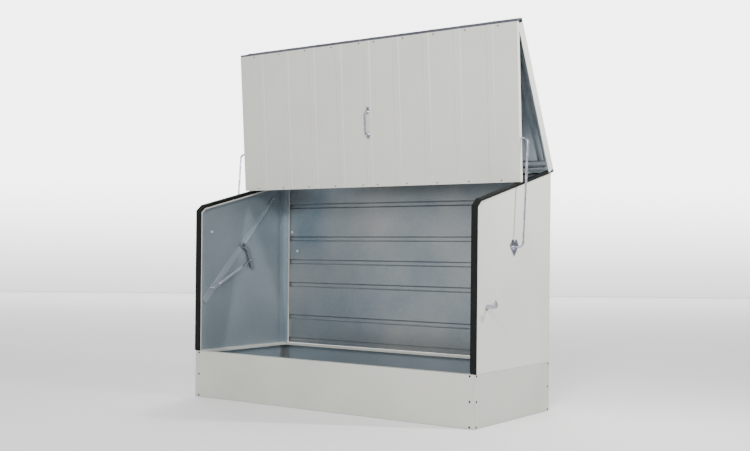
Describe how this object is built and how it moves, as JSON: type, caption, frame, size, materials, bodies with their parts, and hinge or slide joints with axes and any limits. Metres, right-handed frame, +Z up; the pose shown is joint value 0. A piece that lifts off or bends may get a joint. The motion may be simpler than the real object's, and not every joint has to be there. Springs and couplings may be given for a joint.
{
  "type": "bicycle locker",
  "caption": "Sheet steel locker on a plinth with a rear-hinged roof and a link-carried front door that lift together over an open front, sprung on both sides.",
  "frame": {"origin": "centre of the floor pan's middle rib on the ground", "axes": "+Z up, +Y to the back wall, +X to the right of someone who faces the door"},
  "size_m": [2.0502, 0.8441, 2.1162],
  "materials": {
    "cream_paint": "satin",
    "galvanised": "spangled zinc coat",
    "zinc_plate": "bright zinc plate",
    "black_rubber": "matt",
    "dark_steel": "dark grey",
    "spring_steel": "bright drawn"
  },
  "bodies": {
    "cabinet": {"brace_bar_left": "galvanised", "brace_bar_right": "galvanised", "corner_bracket_front_left": "galvanised", "corner_bracket_front_right": "galvanised", "corner_bracket_rear_left": "galvanised", "corner_bracket_rear_right": "galvanised", "edge_trim_left": "black_rubber", "edge_trim_right": "black_rubber", "floor_pan": "galvanised", "hinge_base_centre": "zinc_plate", "hinge_base_left": "zinc_plate", "hinge_base_right": "zinc_plate", "hinge_pin_centre": "zinc_plate", "hinge_pin_left": "zinc_plate", "hinge_pin_right": "zinc_plate", "pivot_bracket_left": "zinc_plate", "pivot_bracket_right": "zinc_plate", "plinth_front": "cream_paint", "plinth_left": "cream_paint", "plinth_rear": "cream_paint", "plinth_right": "cream_paint", "rear_post_left": "cream_paint", "rear_post_right": "cream_paint", "rear_top_rail": "galvanised", "rear_wall_lower": "galvanised", "rear_wall_upper": "galvanised", "rod_keeper_left": "zinc_plate", "rod_keeper_right": "zinc_plate", "side_wall_left": "cream_paint", "side_wall_right": "cream_paint", "spring_anchor_left": "dark_steel", "spring_anchor_right": "dark_steel"},
    "roof": {"hinge_strap_centre": "zinc_plate", "hinge_strap_left": "zinc_plate", "hinge_strap_right": "zinc_plate", "roof_front_bead": "galvanised", "roof_panel": "cream_paint", "roof_rear_rail": "galvanised", "roof_side_rail_left": "galvanised", "roof_side_rail_right": "galvanised"},
    "door": {"door_bottom_rail": "galvanised", "door_handle": "zinc_plate", "door_nose": "galvanised", "door_panel": "cream_paint", "door_side_rail_left": "galvanised", "door_side_rail_right": "galvanised", "door_top_rail": "galvanised"},
    "link_right": {"crank_right": "dark_steel", "link_door_nut_right": "dark_steel", "link_rod_right": "zinc_plate", "link_wall_nut_right": "dark_steel"},
    "link_left": {"crank_left": "dark_steel", "link_door_nut_left": "dark_steel", "link_rod_left": "zinc_plate", "link_wall_nut_left": "dark_steel"},
    "spring_right": {"spring_right": "spring_steel"},
    "spring_left": {"spring_left": "spring_steel"},
    "draw_rod_right": {"draw_rod_right": "zinc_plate"},
    "draw_rod_left": {"draw_rod_left": "zinc_plate"}
  },
  "joints": [
    {"name": "roof_hinge", "type": "hinge", "parent": "cabinet", "child": "roof", "pos_m": [0, 0.4187, 1.32868], "axis": [1, 0, 0], "range_deg": [0, 74.61], "stiffness_Nm_per_rad": 155, "springref_deg": -25.78, "deforming": ["edge_trim_right", "edge_trim_left"]},
    {"name": "link_right_pivot", "type": "hinge", "parent": "cabinet", "child": "link_right", "pos_m": [0.95, -0.016, 0.90481], "axis": [1, 0, 0], "range_deg": [0, 139.3]},
    {"name": "link_left_pivot", "type": "hinge", "parent": "cabinet", "child": "link_left", "pos_m": [-0.95, -0.016, 0.90481], "axis": [1, 0, 0], "range_deg": [0, 139.3]},
    {"name": "door_pivot", "type": "hinge", "parent": "link_right", "child": "door", "pos_m": [0.971, 0.02904, 1.47746], "axis": [1, 0, 0], "range_deg": [-143.3, 0]},
    {"name": "spring_right_swing", "type": "hinge", "parent": "cabinet", "child": "spring_right", "pos_m": [0.93, -0.28596, 0.64484], "axis": [1, 0, 0], "range_deg": [0, 26.1]},
    {"name": "spring_left_swing", "type": "hinge", "parent": "cabinet", "child": "spring_left", "pos_m": [-0.93, -0.28596, 0.64484], "axis": [1, 0, 0], "range_deg": [0, 26.1]},
    {"name": "spring_right_draw", "type": "slide", "parent": "spring_right", "child": "draw_rod_right", "axis": [0, 0.8902, 0.4557], "range_m": [0, 0.0851], "deforming": ["spring_right"]},
    {"name": "spring_left_draw", "type": "slide", "parent": "spring_left", "child": "draw_rod_left", "axis": [0, 0.8902, 0.4557], "range_m": [0, 0.0851], "deforming": ["spring_left"]}
  ],
  "couplings": [
    {"joint": "link_right_pivot", "follows": "roof_hinge", "ratio": 1.8651},
    {"joint": "link_left_pivot", "follows": "roof_hinge", "ratio": 1.8651},
    {"joint": "door_pivot", "follows": "roof_hinge", "ratio": -1.9184},
    {"joint": "spring_right_swing", "follows": "roof_hinge", "ratio": 0.34839},
    {"joint": "spring_left_swing", "follows": "roof_hinge", "ratio": 0.34839},
    {"joint": "spring_right_draw", "follows": "roof_hinge", "m_per_rad": 0.065201},
    {"joint": "spring_left_draw", "follows": "roof_hinge", "m_per_rad": 0.065201}
  ]
}
